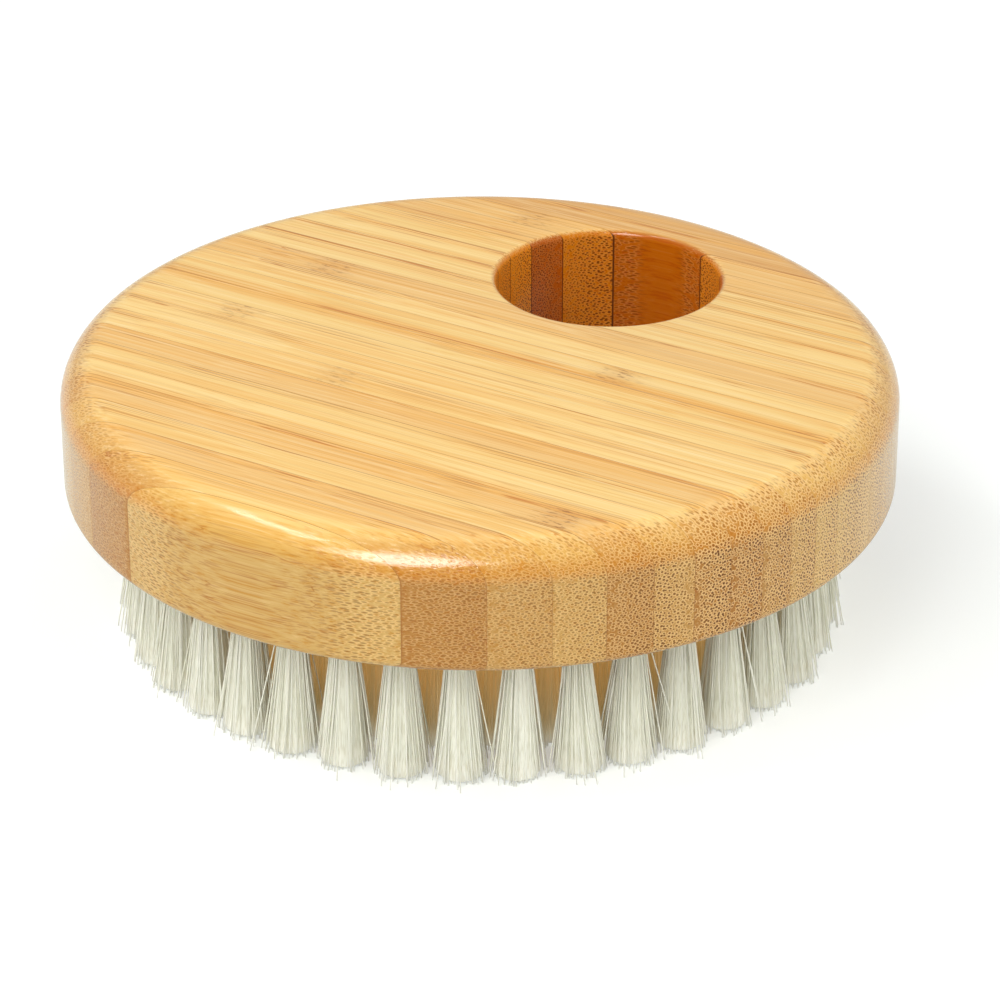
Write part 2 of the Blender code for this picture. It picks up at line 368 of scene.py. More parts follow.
def make_row(name, tufts, finish, node):
    """A row of tufts. Its points know their tint, how deep inside they lie and if they are of a core."""
    hair = Hair()
    depths = []
    cores = []
    core_points = len(CORE_LEVELS) * CORE_SIDES
    for index, (place, ring) in tufts:
        add_tuft(hair, place, ring, FIRST_TUFT_SEED + index)
        made = len(hair.verts) - len(depths)
        screened = min(1, max(0, ((place - HOLE_PLACE).length - OPEN_NEAR) / (OPEN_FAR - OPEN_NEAR)))
        depths += [min(MOST_DEPTH, DEPTH_PER_RING * ring) * screened] * made
        cores += [1.0] * core_points + [0.0] * (made - core_points)
    mesh = bpy.data.meshes.new(name)
    mesh.from_pydata(hair.verts, [], hair.faces)
    for title, values in (("tint", hair.tints), ("depth", depths), ("core", cores)):
        layer = mesh.attributes.new(title, "FLOAT", "POINT")
        layer.data.foreach_set("value", values)
    mesh.transform(TURN)
    mesh.materials.append(finish)
    mesh.shade_smooth()
    row = link(name, mesh)
    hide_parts(node)
    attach(row, "root")


# Materials
class Graph:
    """Shader nodes of one tree, joined by short calls. A value may be a number or a socket."""

    def __init__(self, tree):
        self.tree = tree

    def node(self, kind, inputs=None, **settings):
        """A node with its settings, and with what feeds its inputs, by their names."""
        made = self.tree.nodes.new("ShaderNode" + kind)
        for key, value in settings.items():
            setattr(made, key, value)
        self.fill(made, inputs or {})
        return made

    def fill(self, node, inputs):
        for title, value in inputs.items():
            self.feed(node.inputs[title], value)

    def feed(self, socket, value):
        """Links a socket or sets it. A colour is given without its alpha."""
        if isinstance(value, bpy.types.NodeSocket):
            self.tree.links.new(value, socket)
        elif isinstance(value, tuple) and len(value) == 3 and len(socket.default_value) == 4:
            socket.default_value = (*value, 1)
        else:
            socket.default_value = value

    def math(self, operation, *values):
        made = self.node("Math", operation=operation)
        for socket, value in zip(made.inputs, values):
            self.feed(socket, value)
        return made.outputs[0]

    def times(self, *values):
        """The product of two or more values."""
        product = values[0]
        for value in values[1:]:
            product = self.math("MULTIPLY", product, value)
        return product

    def ramp(self, value, low, high, out_low=0.0, out_high=1.0, kind="SMOOTHSTEP"):
        """A smooth step from out_low to out_high while value goes from low to high."""
        made = self.node("MapRange", interpolation_type=kind)
        for socket, number in zip(made.inputs, (value, low, high, out_low, out_high)):
            self.feed(socket, number)
        return made.outputs[0]

    def weigh(self, mask, off, on):
        """A weight that is off where the mask is 0 and on where it is 1."""
        return self.ramp(mask, 0.0, 1.0, off, on)

    def vector(self, x, y, z):
        return self.node("CombineXYZ", {"X": x, "Y": y, "Z": z}).outputs[0]

    def split(self, value):
        """The three parts of a vector."""
        return self.node("SeparateXYZ", {"Vector": value}).outputs

    def dot(self, value, direction):
        made = self.node("VectorMath", operation="DOT_PRODUCT")
        self.feed(made.inputs[0], value)
        self.feed(made.inputs[1], direction)
        return made.outputs["Value"]

    def length(self, value):
        made = self.node("VectorMath", operation="LENGTH")
        self.feed(made.inputs[0], value)
        return made.outputs["Value"]

    def noise(self, where, detail, roughness=0.5):
        inputs = {"Vector": where, "Scale": 1, "Detail": detail, "Roughness": roughness}
        return self.node("TexNoise", inputs).outputs["Fac"]

    def cells(self, where, randomness, dimensions="2D"):
        """Distance to the nearest cell centre, and the cell's own random colour."""
        made = self.node("TexVoronoi", voronoi_dimensions=dimensions)
        self.fill(made, {"Vector": where, "Scale": 1, "Randomness": randomness})
        return made.outputs["Distance"], made.outputs["Color"]

    def mix(self, factor, a, b, blend="MIX"):
        made = self.node("Mix", data_type="RGBA", blend_type=blend)
        self.feed(made.inputs["Factor"], factor)
        self.feed(made.inputs[6], a)
        self.feed(made.inputs[7], b)
        return made.outputs[2]

    def bump(self, height, strength, distance):
        return self.node("Bump", {"Strength": strength, "Distance": distance, "Height": height}).outputs[0]


def new_material(name):
    """A material, a graph of its nodes and its Principled shader."""
    material = bpy.data.materials.new(name)
    material.use_nodes = True
    return material, Graph(material.node_tree), material.node_tree.nodes["Principled BSDF"]


def srgb(r, g, b):
    """A colour written as it looks on screen, from 0 to 255, as linear shares."""
    return tuple(((c / 255 + 0.055) / 1.055) ** 2.4 if c > 10 else c / 3294 for c in (r, g, b))


def blend_tones(a, b, share):
    """A tone from a, at a share of 0, to b, at 1, and past them beyond."""
    return tuple(x + (y - x) * share for x, y in zip(a, b))


TONES = {
    "honey": srgb(247, 210, 135),
    "tan": srgb(244, 205, 128),
    "rose": srgb(238, 192, 118),
    "deep": srgb(226, 173, 100),
}
# Each strip's tone on the palm face, from the first strip to the last
STRIP_TONES = [
    "tan", "tan", "rose", "tan", "rose", "honey", "tan", "rose", "honey", "honey", "honey", "tan",
    "tan", "honey", "rose", "honey", "honey", "honey", "tan", "rose", "rose", "deep", "deep", "tan",
]
# How ruddy each strip's ends are on the round side and in the finger hole, from the first strip to the last:
# a share of the way from the pale tones to the ruddy ones, or past them
RUDDY_SHARES = [
    -0.25, 1.00, 0.42, 0.12, 1.00, 0.42, 1.02, 1.22, 0.78, 0.20, -0.30, -0.35,
    -0.30, 0.00, 0.20, 0.20, 0.10, -0.10, -0.20, 1.20, 0.15, 0.92, 0.50, 0.40,
]
# The pitch of each strip's bundles in millimetres and how clearly they show. The last of the list is for
# all strips from there to the finger hole
BUNDLES = [(0.46, 0.52), (0.47, 0.34), (0.48, 0.46), (0.50, 0.57), (0.52, 0.67), (0.55, 0.82), (0.58, 0.97)]
HOLE_BUNDLES = (0.46, 0.85)
# A strip's outer side, where the cane has most bundles, lies towards the finger hole, but for these strips
FLIPPED_STRIPS = (1, 6, 13, 20)
# Nodes of the cane on the palm face: strip number, place along the grain in millimetres and strength
CANE_NODES = {
    15: (-37.0, 0.8), 11: (-40.4, 0.6), 9: (-14.0, 0.5),
    13: (22.5, 0.9), 5: (38.5, 1.0), 21: (-18.9, 0.6),
}
FIRST_STRIP_SEED = 70
NOISE_MIDDLE = 0.5
# Where a strip's pattern is taken from in the noise, and how its cells are turned
PATTERN_SHIFTS = (0, 500)
PATTERN_TURNS = (0.3, 0.8)

# Below, a smooth step is written as where it starts and ends, with the two values between which it leads if
# they aren't 0 and 1. A pair of weights is for outside and inside what its name says.

# Bundles: how evenly they are spread, how clearly a cell has one, their radius as a share of the pitch, with
# its variation and its least size, how their edge fades, and the pale ring round one, in radii
BUNDLE_SPREAD = 0.72
BUNDLE_PRESENT = (-0.05, 0.10, 1.0, 0.0)
BUNDLE_RADIUS = 0.29
BUNDLE_SIZES = (0.35, 0.78)
BUNDLE_EDGE = (1.20, 0.65)
RING_STARTS = (1.10, 1.35)
RING_ENDS = (2.3, 1.5)
CELL_SHIFT = 7
# Finer specks between the bundles: their pitch in millimetres, radius, turn and darkness
SPECK_PITCH = 0.29
SPECK_RADIUS = 0.27
SPECK_TURN = 0.5
SPECK_DARKNESS = 0.55
# Fibres seen from the side: length along the grain in millimetres, fineness across it, a place of their own
# in the noise, detail and roughness
STREAKS = (70, 2.8, 0, 3, 0.66)
BANDS = (90, 0.45, 3, 2, 0.5)
PATCHES = (26, 0.7, 40, 2, 0.5)
LINES = (120, 1.0, 20, 1, 0.5)
# How the fibres wander across the grain and up: a wave's length and height in millimetres with its place in
# the noise, and a slope
WAVE_V = (45, 1.1, 0, 0.0)
WAVE_W = (38, 1.6, 50, 3.0)
SLOPE_V = (-0.004, 0.004)
SLOPE_W = (0.006, 0.014)

# Steps by which way a face points, along the grain or up: end grain, the palm's round-over with its upper and
# lower ends, the lower part of it, where a painted reflection lies, faces that stand upright, and what the
# dots do on the round-over
END_GRAIN_FACING = (0.05, 0.32)
ROUND_STARTS = (0.02, 0.45)
ROUND_ENDS = (0.995, 0.80)
LOW_ROUND_STARTS = (0.04, 0.22)
LOW_ROUND_ENDS = (0.70, 0.36)
UPRIGHT_FACING = (0.90, 0.30)
DOTS_FADE_FACING = (0.88, 0.985, 1.0, 0.30)
DOTS_REDDEN_FACING = (0.10, 0.60, 0.0, 0.85)
# Millimetres from the finger hole's axis at which the tones of its wall, partly painted shade, and of its rim
# set in and are full
HOLE_FADE = (HOLE_RADIUS / MM + 0.9, HOLE_RADIUS / MM + 0.1)
RIM_FADE = (HOLE_RADIUS / MM + 2.2, HOLE_RADIUS / MM + 1.4)
# Millimetres from a seam within which its glue line fades
GLUE_FADE = (0.02, 0.11, 1.0, 0.0)
# Added to the block's round edges, where a strip has no neighbour and no glue line
OPEN_SIDE = 10

# Steps from the cane's inner side, 0, to its outer side, 1
DOTS_CROWD = (0.0, 0.50, 0.70, 1.1)
SPECKS_CROWD = (0.2, 1.0, 0.45, 0.90)
LINES_CROWD = (0.35, 0.90, 0.25, 1.0)
DOTS_DARKEN = (0.0, 0.7, 0.55, 1.0)
LONG_DOTS_CROWD = (0.30, 0.90, 0.15, 1.0)
OUTER_STAIN = (0.45, 1.0)
OUTER_STAINS = (0.05, 0.85)
# Steps in the noise of the fibres
BAND_STAIN = (0.46, 0.62, 0.0, 0.50)
STREAKS_DARK = (0.32, 0.50, 0.85, 0.0)
STREAKS_PALE = (0.50, 0.74, 0.0, 0.50)
STREAKS_ROUGH = (0.3, 0.7, 0.52, 0.42)
LINE_THICK = (0.026, 0.006)
LINE_PATCHES = (0.44, 0.56)
LONG_DOT_PATCHES = (0.36, 0.60, 0.06, 0.38)
RINGS_ON_END = (0.5, 1.0)
RING_SHARE = 0.9

# Pairs of weights
# The round-over's tone, partly painted reflection, on long grain and on end grain
ROUND_TONE_ON_END = (0.50, 0.75)
DARK_ON_UPRIGHT = (0.50, 1.0)
PALE_ON_UPRIGHT = (1.0, 0.35)
PALE_IN_HOLE = (1.0, 0.2)
LINES_ON_UPRIGHT = (0.68, 0.55)
RINGS_IN_HOLE = (1.0, 0.2)
DOTS_ON_ROUND = (1.0, 0.55)
DOTS_AT_RIM = (1.0, 0.15)
GLUE_ON_ROUND = (1.0, 0.1)
PITS_ON_END = (0.25, 0.8)
COAT_IN_HOLE = (1.0, 0.3)
# A glue line's strength lies between these on long grain and on end grain
GLUE_ON_LONG = (0.10, 0.65)
GLUE_ON_END = (0.15, 0.40)
# How strongly the painted reflection of the darker room lies on the lower round-over's end grain
LOW_ROUND_REFLECTION = 0.45
# A cane node: half its length in millimetres, how its grain is drawn out along u, v and w, the detail and
# roughness of that grain, the step in it, and how strong its stain and its dark grain are
KNOT_REACH = 3.4
KNOT_SCALE = (0.5, 2.4, 0.8)
KNOT_GRAIN = (3, 0.6)
KNOT_STEP = (0.50, 0.66)
KNOT_STAIN = 0.35
KNOT_DARKNESS = 0.75

FIBRE_PALE = srgb(252, 225, 172)
STREAK_SHADE = (0.86, 0.62, 0.22)
LINE_SHADE = (0.62, 0.32, 0.07)
LINE_DARK = srgb(158, 84, 22)
PORE_DARK = srgb(92, 46, 6)
PORE_ROUND = srgb(156, 90, 24)
PORE_HALO = srgb(236, 196, 130)
OUTER_TONE = srgb(238, 179, 88)
# The upright sides: their own end-grain tone with painted shade and painted reflection of the floor
END_PALE = srgb(195, 153, 84)
END_RUDDY = srgb(173, 119, 50)
# The round-over's tones: its own end grain, deepened by painted reflection of the darker room. The deepest is
# painted reflection alone
ROUND_PALE = srgb(216, 164, 78)
ROUND_RUDDY = srgb(202, 142, 60)
ROUND_ROOM_REFLECTION = srgb(200, 126, 38)
# The finger hole's wall: its own tone darkened by painted shade of the hole
HOLE_PALE = srgb(214, 128, 4)
HOLE_RUDDY = srgb(186, 96, 0)
HOLE_GLUE = srgb(96, 48, 14)
KNOT_TONE = srgb(206, 142, 66)
KNOT_DARK = srgb(140, 84, 34)
GLUE_DARK = srgb(140, 82, 34)
WOOD_IOR = 1.45
WOOD_SPECULAR = 0.12
COAT_ROUGHNESS = 0.07
# The relief of streaks and pits, in the wood and in its lacquer
WOOD_BUMP = 0.35
COAT_BUMP = 0.5
BUMP_HEIGHT = 0.03 * MM
STREAK_RELIEF = 0.8


def wave(g, along, size, shift):
    """A slow wave about zero along the grain."""
    length, height, place, layer = size
    slow = g.vector(g.times(along, 1 / length), shift + place, layer)
    return g.times(g.math("SUBTRACT", g.noise(slow, 1), NOISE_MIDDLE), height)


def bundles(g, section, shift, pitch, radius, angle, crowd):
    """How far a place lies from a bundle's middle, in its radii, and how much the bundle is there."""
    cells = g.node("Mapping", {
        "Location": (shift * pitch, CELL_SHIFT * pitch, 0),
        "Rotation": (0, 0, angle),
        "Scale": (1 / pitch, 1 / pitch, 1),
        "Vector": section,
    })
    distance, own = g.cells(cells.outputs[0], BUNDLE_SPREAD)
    size, rank, _ = g.node("SeparateColor", {"Color": own}).outputs
    vary, least = BUNDLE_SIZES
    share = g.math("DIVIDE", distance, g.math("MULTIPLY_ADD", size, vary * radius, least * radius))
    return share, g.ramp(g.math("SUBTRACT", rank, crowd), *BUNDLE_PRESENT)


def bamboo(number, across):
    """Lacquered bamboo of one strip: bundles of fibres that run along u, dotted on end grain."""
    rng = random.Random(FIRST_STRIP_SEED + number)
    finish, g, shader = new_material(f"bamboo_{number:02}")
    where = g.node("TexCoord")
    in_grain = g.node("Mapping", {
        "Rotation": (0, 0, -GRAIN_TURN),
        "Scale": (1 / MM, 1 / MM, 1 / MM),
        "Vector": where.outputs["Object"],
    })
    u, v, w = g.split(in_grain.outputs[0])
    low, high = across[0] / MM, across[1] / MM

    # The fibres lean a little in their strip and wave gently
    shift = rng.uniform(*PATTERN_SHIFTS)
    slope_v = rng.uniform(*SLOPE_V)
    slope_w = rng.choice((-1, 1)) * rng.uniform(*SLOPE_W)
    fibre_v = g.math("ADD", g.math("MULTIPLY_ADD", u, slope_v, v), wave(g, u, WAVE_V, shift))
    fibre_w = g.math("ADD", g.math("MULTIPLY_ADD", u, slope_w, w), wave(g, u, WAVE_W, shift))
    section = g.vector(fibre_v, fibre_w, 0.0)

    # Which way a place faces, and how near it is to the finger hole
    facing = {"Angle": -GRAIN_TURN, "Vector": where.outputs["Normal"]}
    lengthwise, _, up = g.split(g.node("VectorRotate", facing, rotation_type="Z_AXIS").outputs[0])
    end_grain = g.ramp(g.math("ABSOLUTE", lengthwise), *END_GRAIN_FACING)
    rounded = g.times(g.ramp(up, *ROUND_STARTS), g.ramp(up, *ROUND_ENDS))
    low_round = g.times(g.ramp(up, *LOW_ROUND_STARTS), g.ramp(up, *LOW_ROUND_ENDS))
    upright = g.ramp(up, *UPRIGHT_FACING)
    off_hole = [g.math("SUBTRACT", part, place / MM) for part, place in zip((u, v), HOLE_PLACE)]
    off_hole = g.length(g.vector(*off_hole, 0.0))
    in_hole = g.ramp(off_hole, *HOLE_FADE)
    hole_wall = g.times(in_hole, upright)
    rim = g.times(rounded, g.ramp(off_hole, *RIM_FADE))

    # From the cane's inner side, with few bundles, to its outer side, with many
    sides = (1.0, 0.0) if number in FLIPPED_STRIPS else (0.0, 1.0)
    outer = g.ramp(v, low, high, *sides, kind="LINEAR")
    angle = rng.uniform(*PATTERN_TURNS)
    pitch, clear = HOLE_BUNDLES
    if number <= STRIPS_BEFORE_HOLE:
        pitch, clear = BUNDLES[min(number, len(BUNDLES)) - 1]
    crowd = g.ramp(outer, *DOTS_CROWD)
    share, there = bundles(g, section, shift, pitch, BUNDLE_RADIUS, angle, crowd)
    dots = g.times(g.ramp(share, *BUNDLE_EDGE), there)
    rings = g.times(g.ramp(share, *RING_STARTS), g.ramp(share, *RING_ENDS), there)
    crowd = g.ramp(outer, *SPECKS_CROWD)
    share, there = bundles(g, section, shift, SPECK_PITCH, SPECK_RADIUS, angle + SPECK_TURN, crowd)
    specks = g.times(g.ramp(share, *BUNDLE_EDGE), there)

    # Fibres seen from the side: light and dark streaks, and a few long dark lines
    def fibres(length, fine, place, detail, roughness):
        place = g.math("MULTIPLY_ADD", u, 1 / length, shift + place)
        return g.noise(g.vector(place, g.times(fibre_v, fine), g.times(fibre_w, fine)), detail, roughness)

    streak = fibres(*STREAKS)
    band = fibres(*BANDS)
    patch = fibres(*PATCHES)
    line = g.math("ABSOLUTE", g.math("SUBTRACT", fibres(*LINES), NOISE_MIDDLE))
    line = g.times(g.ramp(line, *LINE_THICK), g.ramp(patch, *LINE_PATCHES), g.ramp(outer, *LINES_CROWD))

    # The wood's tone, deeper on end grain, with painted shade and painted reflection of the floor on the
    # upright sides, painted reflection of the darker room on the round-over and painted shade in the finger
    # hole
    ruddy = RUDDY_SHARES[number - 1]
    colour = TONES[STRIP_TONES[number - 1]]
    colour = g.mix(g.ramp(outer, *OUTER_STAIN, 0.0, rng.uniform(*OUTER_STAINS)), colour, OUTER_TONE)
    colour = g.mix(g.ramp(band, *BAND_STAIN), colour, OUTER_TONE)
    # Painted shade and painted reflection of the floor on the upright sides, over their own end-grain tone
    colour = g.mix(upright, colour, blend_tones(END_PALE, END_RUDDY, ruddy))
    # The round-over: its own end grain with painted reflection of the darker room
    round_tone = g.times(rounded, g.weigh(end_grain, *ROUND_TONE_ON_END))
    colour = g.mix(round_tone, colour, blend_tones(ROUND_PALE, ROUND_RUDDY, ruddy))
    # Painted reflection of the darker room on the lower part of the round-over
    colour = g.mix(g.times(low_round, g.times(end_grain, LOW_ROUND_REFLECTION)), colour, ROUND_ROOM_REFLECTION)
    # Painted shade of the finger hole over its wall's own tone
    colour = g.mix(in_hole, colour, blend_tones(HOLE_PALE, HOLE_RUDDY, ruddy))

    # Streaks and lines
    dark = g.times(g.ramp(streak, *STREAKS_DARK), g.weigh(upright, *DARK_ON_UPRIGHT))
    colour = g.mix(dark, colour, STREAK_SHADE, "MULTIPLY")
    pale = g.times(g.ramp(streak, *STREAKS_PALE), g.weigh(upright, *PALE_ON_UPRIGHT))
    colour = g.mix(g.times(pale, g.weigh(in_hole, *PALE_IN_HOLE)), colour, FIBRE_PALE)
    line = g.times(line, g.weigh(upright, *LINES_ON_UPRIGHT))
    colour = g.mix(line, colour, LINE_SHADE, "MULTIPLY")

    # Bundles on end grain, each with a pale ring, and fewer and fainter ones on long grain
    ringed = g.ramp(end_grain, *RINGS_ON_END, 0.0, RING_SHARE * clear)
    ringed = g.times(ringed, g.weigh(in_hole, *RINGS_IN_HOLE))
    colour = g.mix(g.times(rings, ringed), colour, PORE_HALO)
    strength = g.times(
        g.weigh(end_grain, 0.0, clear), g.ramp(outer, *DOTS_DARKEN), g.weigh(rounded, *DOTS_ON_ROUND),
        g.weigh(rim, *DOTS_AT_RIM), g.ramp(up, *DOTS_FADE_FACING),
    )
    long_grain = g.times(g.ramp(patch, *LONG_DOT_PATCHES), g.ramp(outer, *LONG_DOTS_CROWD))
    strength = g.math("MAXIMUM", strength, long_grain)
    specks = g.times(specks, g.times(strength, SPECK_DARKNESS))
    colour = g.mix(specks, colour, LINE_SHADE, "MULTIPLY")
    pore = g.mix(end_grain, LINE_DARK, PORE_DARK)
    pore = g.mix(g.ramp(up, *DOTS_REDDEN_FACING), pore, PORE_ROUND)
    colour = g.mix(g.times(dots, strength), colour, pore)

    if number in CANE_NODES:
        place, force = CANE_NODES[number]
        near = g.math("DIVIDE", g.math("SUBTRACT", u, place), KNOT_REACH)
        near = g.math("EXPONENT", g.times(near, near, -1.0))
        along, wide, tall = KNOT_SCALE
        knot = g.vector(g.math("MULTIPLY_ADD", u, along, shift), g.times(v, wide), g.times(w, tall))
        knot = g.times(g.ramp(g.noise(knot, *KNOT_GRAIN), *KNOT_STEP), near)
        colour = g.mix(g.times(near, KNOT_STAIN * force), colour, KNOT_TONE)
        colour = g.mix(g.times(knot, KNOT_DARKNESS * force), colour, KNOT_DARK)

    # Glue lines between the strips
    first = low - (OPEN_SIDE if number == 1 else 0)
    last = high + (OPEN_SIDE if number == len(STRIP_TONES) else 0)
    edge = g.math("MINIMUM", g.math("SUBTRACT", v, first), g.math("SUBTRACT", last, v))
    seam = g.ramp(edge, *GLUE_FADE)
    glue = g.weigh(end_grain, rng.uniform(*GLUE_ON_LONG), rng.uniform(*GLUE_ON_END))
    glue = g.times(glue, g.weigh(rounded, *GLUE_ON_ROUND))
    colour = g.mix(g.times(seam, glue), colour, GLUE_DARK)
    colour = g.mix(g.times(seam, hole_wall), colour, HOLE_GLUE)

    pits = g.times(dots, g.weigh(end_grain, *PITS_ON_END))
    relief = g.math("SUBTRACT", g.times(streak, STREAK_RELIEF), pits)
    g.fill(shader, {
        "Base Color": colour,
        "Roughness": g.ramp(streak, *STREAKS_ROUGH),
        "IOR": WOOD_IOR,
        "Specular IOR Level": WOOD_SPECULAR,
        "Normal": g.bump(relief, WOOD_BUMP, BUMP_HEIGHT),
        "Coat Weight": g.weigh(hole_wall, *COAT_IN_HOLE),
        "Coat Roughness": COAT_ROUGHNESS,
        "Coat IOR": WOOD_IOR,
        "Coat Normal": g.bump(relief, COAT_BUMP, BUMP_HEIGHT),
    })
    return finish


BRISTLE_DULL = srgb(241, 241, 222)
BRISTLE_BRIGHT = srgb(250, 250, 238)
# Painted golden bounce light deep among the tufts, painted light at the tips, and painted shade in the cores'
# gaps
BRISTLE_BOUNCE_TONE = srgb(255, 200, 104)
BRISTLE_TIP_LIGHT = srgb(254, 254, 248)
BRISTLE_GAP_SHADE = srgb(200, 194, 164)
BRISTLE_ROUGHNESS = 0.42
BRISTLE_IOR = 1.5
SHEEN_TINT = (1.0, 0.98, 0.90)
SHEEN_ROUGHNESS = 0.5
# Steps by height in metres: the painted golden bounce light, the painted light on the tips, their painted
# glow, and the painted shade in the gaps between packed bristles
BOUNCE_RISE = (0.000, 0.016, 0.35, 1.0)
TIPS_LIGHT = (0.006, 0.0, 0.0, 0.5)
TIPS_GLOW = (0.005, 0.0)
GAP_SHADE_RISE = (0.0, 0.010, 0.45, 0.30)
# Steps by how deep among the tufts a bristle stands
SPECULAR_DEPTH = (0.0, 0.7, 0.35, 0.05)
SHEEN_DEPTH = (0.0, 0.7, 0.6, 0.1)
# A painted glow for light that comes through the bristles, from tuft to tuft and up from the floor
THROUGH_TONE = (1.0, 0.71, 0.23)
THROUGH_TIP_TONE = (1.0, 1.0, 0.92)
THROUGH_GLOW = 0.17
THROUGH_GLOW_AT_TIPS = 0.10
# The cores' pattern of packed bristles, which is drawn out along them: how evenly they are spread, and where
# a gap of painted shade sets in
BRISTLES_PER_METRE = 4200
BRISTLE_STRETCH = 40
BRISTLE_SPREAD = 0.9
GAP_EDGE = (0.35, 0.70)


def bristle_material():
    """Cream bristle with painted light at its tips, painted golden bounce light and glow deep among the
    tufts, and painted shade in the gaps of its cores.
    """
    finish, g, shader = new_material("bristle")
    where = g.node("TexCoord").outputs["Object"]
    height = g.split(where)[2]
    tint, depth, core = (
        g.node("Attribute", attribute_name=title).outputs["Fac"] for title in ("tint", "depth", "core")
    )
    colour = g.mix(tint, BRISTLE_DULL, BRISTLE_BRIGHT)
    # Painted golden bounce light from the wood, deep among the tufts
    bounce_light = g.times(depth, g.ramp(height, *BOUNCE_RISE))
    colour = g.mix(bounce_light, colour, BRISTLE_BOUNCE_TONE)
    # Painted light on the tips
    colour = g.mix(g.ramp(height, *TIPS_LIGHT), colour, BRISTLE_TIP_LIGHT)
    scale = (BRISTLES_PER_METRE, BRISTLES_PER_METRE, BRISTLES_PER_METRE / BRISTLE_STRETCH)
    fine = g.node("Mapping", {"Scale": scale, "Vector": where})
    distance, _ = g.cells(fine.outputs[0], BRISTLE_SPREAD, "3D")
    # Painted shade in the gaps between the packed bristles on the cores
    gap_shade = g.ramp(distance, *GAP_EDGE, 0.0, g.ramp(height, *GAP_SHADE_RISE))
    colour = g.mix(g.times(gap_shade, core), colour, BRISTLE_GAP_SHADE)
    # Painted glow at the tips and deep among the tufts, given below as emission
    tips = g.ramp(height, *TIPS_GLOW)
    g.fill(shader, {
        "Base Color": colour,
        "Roughness": BRISTLE_ROUGHNESS,
        "IOR": BRISTLE_IOR,
        "Specular IOR Level": g.ramp(depth, *SPECULAR_DEPTH),
        "Sheen Weight": g.ramp(depth, *SHEEN_DEPTH),
        "Sheen Roughness": SHEEN_ROUGHNESS,
        "Sheen Tint": SHEEN_TINT,
        "Emission Color": g.mix(tips, THROUGH_TONE, THROUGH_TIP_TONE),
        "Emission Strength": g.math("MULTIPLY_ADD", bounce_light, THROUGH_GLOW, g.times(tips, THROUGH_GLOW_AT_TIPS)),
    })
    return finish


# The brush
def make_strips(tufts, limits):
    """Parts the block along its seams, and at the finger hole into a left and a right length."""
    block = whole_block(tufts)
    strips = list(enumerate(zip(limits, limits[1:]), 1))
    finishes = [bamboo(number, across) for number, across in strips]
    end = BLOCK_RADIUS + OVERRUN
    for number, (low, high) in strips:
        across = (low - OVERRUN if number == 1 else low, high + OVERRUN if number == len(strips) else high)
        halves = [("", (-end, end))]
        if 0 < number - STRIPS_BEFORE_HOLE <= STRIPS_CUT_IN_TWO:
            halves = [("_left", (-end, HOLE_PLACE.x)), ("_right", (HOLE_PLACE.x, end))]
        for side, along in halves:
            name = f"strip_{number:02}{side}"
            strip = make_strip(name, block, along, across, finishes[number - 1], f"bamboo_{name}")
    bpy.data.objects.remove(block)


def make_rows(tufts, limits):
    """Rows of tufts, two strips in each. The odd strip before the finger hole has a row of its own."""
    bristle = bristle_material()
    odd = STRIPS_BEFORE_HOLE // STRIPS_IN_A_ROW + 1
    spans = {number: (STRIPS_IN_A_ROW * (number - 1), STRIPS_IN_A_ROW) for number in range(FIRST_ROW, odd)}
    spans[odd] = (STRIPS_BEFORE_HOLE - 1, 1)
    for k in range(STRIPS_CUT_IN_TWO // STRIPS_IN_A_ROW):
        spans[odd + 1 + k] = (STRIPS_BEFORE_HOLE + STRIPS_IN_A_ROW * k, STRIPS_IN_A_ROW)
    left = dict(enumerate(tufts))
    for number, (first, count) in spans.items():
        low, high = limits[first], limits[first + count]
        for side, sign in [("_left", -1), ("_right", 1)] if number > odd else [("", 0)]:
            carried = [
                (index, (place, ring)) for index, (place, ring) in left.items()
                if low < place.y <= high and sign * (place.x - HOLE_PLACE.x) >= 0
            ]
            for index, _ in carried:
                del left[index]
            make_row(f"tufts_{number:02}{side}", carried, bristle, f"bristle_row_{number:02}{side}")
    if left:
        raise ValueError(f"{len(left)} tufts lie in no row")


# Floor, light and camera
FLOOR_HALF = 3.0
FLOOR_TONE = (0.77, 0.80, 0.78)
# What gloss mirrors of the floor is a little darker and warmer
FLOOR_MIRRORED = (0.68, 0.67, 0.59)
FLOOR_GLOW = 0.31
FLOOR_MIRRORED_GLOW = 0.20
FLOOR_ROUGHNESS = 0.9
# Metres towards the camera at which the floor's mirrored glow sets in and is full. The floor is brightest
# beside and behind the brush
FLOOR_FADE = (0.085, -0.01)

# Directions in the level axes of the camera: to its right, towards it and up
RIGHT = Vector((0.8018, 0.5976, 0))
TOWARDS = Vector((0.5976, -0.8018, 0))
KEY_DIRECTION = -0.27 * RIGHT + 0.67 * TOWARDS + Vector((0, 0, 0.62))
LEFT_DIRECTION = -0.50 * RIGHT + 0.05 * TOWARDS + Vector((0, 0, 0.84))
# The softboxes: direction, turn about it, size in metres and radiance
LAMP_DISTANCE = 0.9
LAMPS = {
    "key": (KEY_DIRECTION, math.radians(45), (0.50, 0.50), 4.7),
    "left": (LEFT_DIRECTION, 0, (0.46, 0.08), 9.8),
}

# The world's light from all round, and how it grows towards the camera's right and left
DOME = 0.36
DOME_RIGHT = 1.6
DOME_LEFT = 1.12
RIGHT_FADE = (0.1, 0.9)
LEFT_FADE = (-0.1, -0.9)
# What gloss mirrors of the world: the backdrop, the room in front of the brush, and how much brighter the
# middle of the key softbox is
BACKDROP = 0.42
ROOM = 0.10
ROOM_FADE = (-0.3, 0.5)
GLINT = 12.0
GLINT_FADE = (0.960, 0.990)

